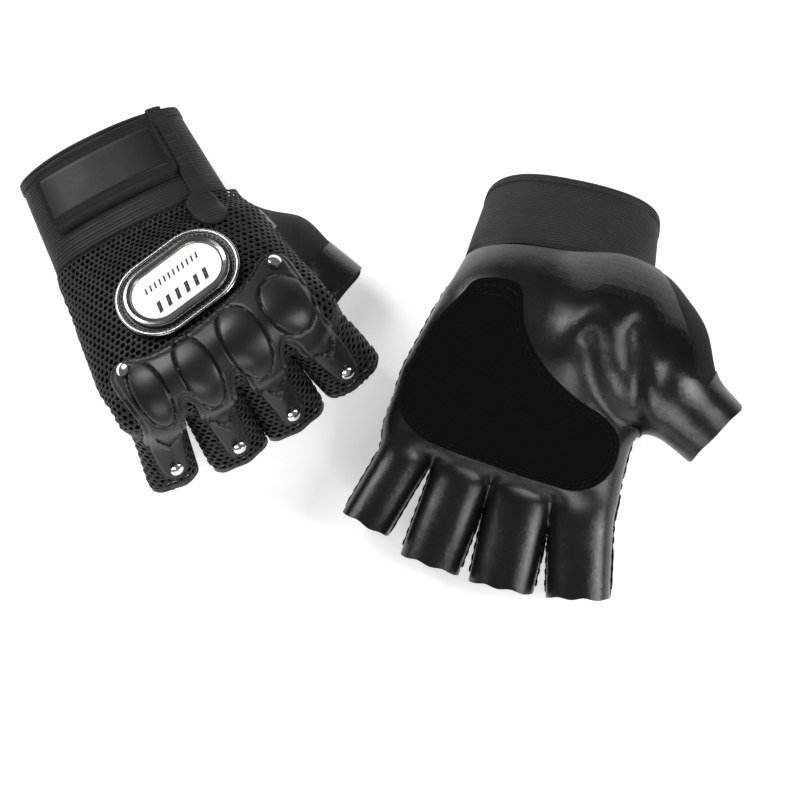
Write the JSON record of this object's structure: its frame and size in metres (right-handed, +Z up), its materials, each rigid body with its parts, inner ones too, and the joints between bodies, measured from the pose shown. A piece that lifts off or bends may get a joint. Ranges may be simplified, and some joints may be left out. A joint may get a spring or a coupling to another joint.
{
  "type": "riding gloves",
  "caption": "Pair of fingerless riding gloves with moulded knuckle guards, ribbed elastic cuffs and closure straps: one lies palm down with curled fingers, one palm up.",
  "frame": {"origin": "middle of the pair in plan, on the surface that it lies on", "axes": "+X across the pair, from the right-hand glove to the left-hand one; +Y away from the viewer, towards the cuffs; +Z up"},
  "size_m": [0.2827, 0.1968, 0.07],
  "materials": {
    "leather": "shiny fine-grained synthetic leather",
    "suede": "matt suede-like wear patch",
    "mesh": "open-hole black netting",
    "stretch_fabric": "ribbed stretch knit",
    "elastic": "ribbed elastic webbing",
    "binding": "ribbed woven tape",
    "strap_fabric": "matt woven strap",
    "hook_tape": "hook-and-loop tape",
    "patch_rubber": "smooth matt rubber",
    "guard_rubber": "moulded satin rubber",
    "foam": "soft padding",
    "bezel": "satin moulding with a stitched channel",
    "bright_ring": "dark chrome",
    "white_plate": "gloss white with plain slanted bars",
    "chrome": "polished"
  },
  "bodies": {
    "right_hand": {"right_back_panel": "mesh", "right_palm_panel": "leather", "right_palm_patch": "suede", "right_thumb_base": "stretch_fabric", "right_cuff_band": "elastic", "right_cuff_binding": "binding", "right_pull_tab": "binding", "right_knuckle_plate": "guard_rubber", "right_knuckle_foam": "foam", "right_badge_bezel": "bezel", "right_badge_ring": "bright_ring", "right_badge_plate": "white_plate", "right_plate_rivets": "chrome"},
    "right_strap": {"right_closure_strap": "strap_fabric", "right_strap_patch": "patch_rubber", "right_hook_patch": "hook_tape"},
    "right_thumb": {"right_thumb_stall": "leather"},
    "right_index": {"right_index_stall": "leather", "right_index_prong": "guard_rubber", "right_index_rivet": "chrome"},
    "right_middle": {"right_middle_stall": "leather", "right_middle_prong": "guard_rubber", "right_middle_rivet": "chrome"},
    "right_ring": {"right_ring_stall": "leather", "right_ring_prong": "guard_rubber", "right_ring_rivet": "chrome"},
    "right_little": {"right_little_stall": "leather", "right_little_prong": "guard_rubber", "right_little_rivet": "chrome"},
    "left_hand": {"left_back_panel": "mesh", "left_palm_panel": "leather", "left_palm_patch": "suede", "left_thumb_base": "stretch_fabric", "left_cuff_band": "elastic", "left_cuff_binding": "binding", "left_pull_tab": "binding", "left_knuckle_plate": "guard_rubber", "left_knuckle_foam": "foam", "left_badge_bezel": "bezel", "left_badge_ring": "bright_ring", "left_badge_plate": "white_plate", "left_plate_rivets": "chrome"},
    "left_strap": {"left_closure_strap": "strap_fabric", "left_strap_patch": "patch_rubber", "left_hook_patch": "hook_tape"},
    "left_thumb": {"left_thumb_stall": "leather"},
    "left_index": {"left_index_stall": "leather", "left_index_prong": "guard_rubber", "left_index_rivet": "chrome"},
    "left_middle": {"left_middle_stall": "leather", "left_middle_prong": "guard_rubber", "left_middle_rivet": "chrome"},
    "left_ring": {"left_ring_stall": "leather", "left_ring_prong": "guard_rubber", "left_ring_rivet": "chrome"},
    "left_little": {"left_little_stall": "leather", "left_little_prong": "guard_rubber", "left_little_rivet": "chrome"}
  },
  "joints": [
    {"name": "left_glove_lift", "type": "slide", "parent": "right_hand", "child": "left_hand", "axis": [0, 0, 1], "range_m": [0, 0.12]},
    {"name": "right_index_knuckle", "type": "hinge", "parent": "right_hand", "child": "right_index", "pos_m": [-0.03105, 0.00925, 0.05306], "axis": [0.8554, 0.518, 0], "range_deg": [-60, 2], "stiffness_Nm_per_rad": 0.04},
    {"name": "right_middle_knuckle", "type": "hinge", "parent": "right_hand", "child": "right_middle", "pos_m": [-0.04986, -0.00215, 0.05306], "axis": [0.8554, 0.518, 0], "range_deg": [-60, 2], "stiffness_Nm_per_rad": 0.04},
    {"name": "right_ring_knuckle", "type": "hinge", "parent": "right_hand", "child": "right_ring", "pos_m": [-0.06868, -0.01354, 0.05306], "axis": [0.8554, 0.518, 0], "range_deg": [-60, 2], "stiffness_Nm_per_rad": 0.04},
    {"name": "right_little_knuckle", "type": "hinge", "parent": "right_hand", "child": "right_little", "pos_m": [-0.08665, -0.02442, 0.05306], "axis": [0.8554, 0.518, 0], "range_deg": [-60, 2], "stiffness_Nm_per_rad": 0.04},
    {"name": "right_thumb_knuckle", "type": "hinge", "parent": "right_hand", "child": "right_thumb", "pos_m": [-0.03694, 0.03925, 0.01514], "axis": [-0.1687, 0.2785, 0.9455], "range_deg": [0, 20], "stiffness_Nm_per_rad": 0.04},
    {"name": "right_strap_hinge", "type": "hinge", "parent": "right_hand", "child": "right_strap", "pos_m": [-0.08305, 0.08038, 0.04101], "axis": [-0.4828, 0.868, -0.1162], "range_deg": [0, 110]},
    {"name": "left_index_knuckle", "type": "hinge", "parent": "left_hand", "child": "left_index", "pos_m": [0.08158, -0.04728, 0.01694], "axis": [-0.9472, 0.3206, 0], "range_deg": [-10, 50], "stiffness_Nm_per_rad": 0.04},
    {"name": "left_middle_knuckle", "type": "hinge", "parent": "left_hand", "child": "left_middle", "pos_m": [0.06074, -0.04023, 0.01694], "axis": [-0.9472, 0.3206, 0], "range_deg": [-10, 50], "stiffness_Nm_per_rad": 0.04},
    {"name": "left_ring_knuckle", "type": "hinge", "parent": "left_hand", "child": "left_ring", "pos_m": [0.0399, -0.03317, 0.01694], "axis": [-0.9472, 0.3206, 0], "range_deg": [-10, 50], "stiffness_Nm_per_rad": 0.04},
    {"name": "left_little_knuckle", "type": "hinge", "parent": "left_hand", "child": "left_little", "pos_m": [0.02001, -0.02644, 0.01694], "axis": [-0.9472, 0.3206, 0], "range_deg": [-10, 50], "stiffness_Nm_per_rad": 0.04},
    {"name": "left_thumb_knuckle", "type": "hinge", "parent": "left_hand", "child": "left_thumb", "pos_m": [0.11212, -0.0163, 0.04088], "axis": [-0.083, -0.2452, 0.9659], "range_deg": [-12, 12], "stiffness_Nm_per_rad": 0.04},
    {"name": "left_strap_hinge", "type": "hinge", "parent": "left_hand", "child": "left_strap", "pos_m": [0.09706, 0.02886, 0.01178], "axis": [-0.1345, -0.8079, 0.5737], "range_deg": [0, 110]}
  ]
}
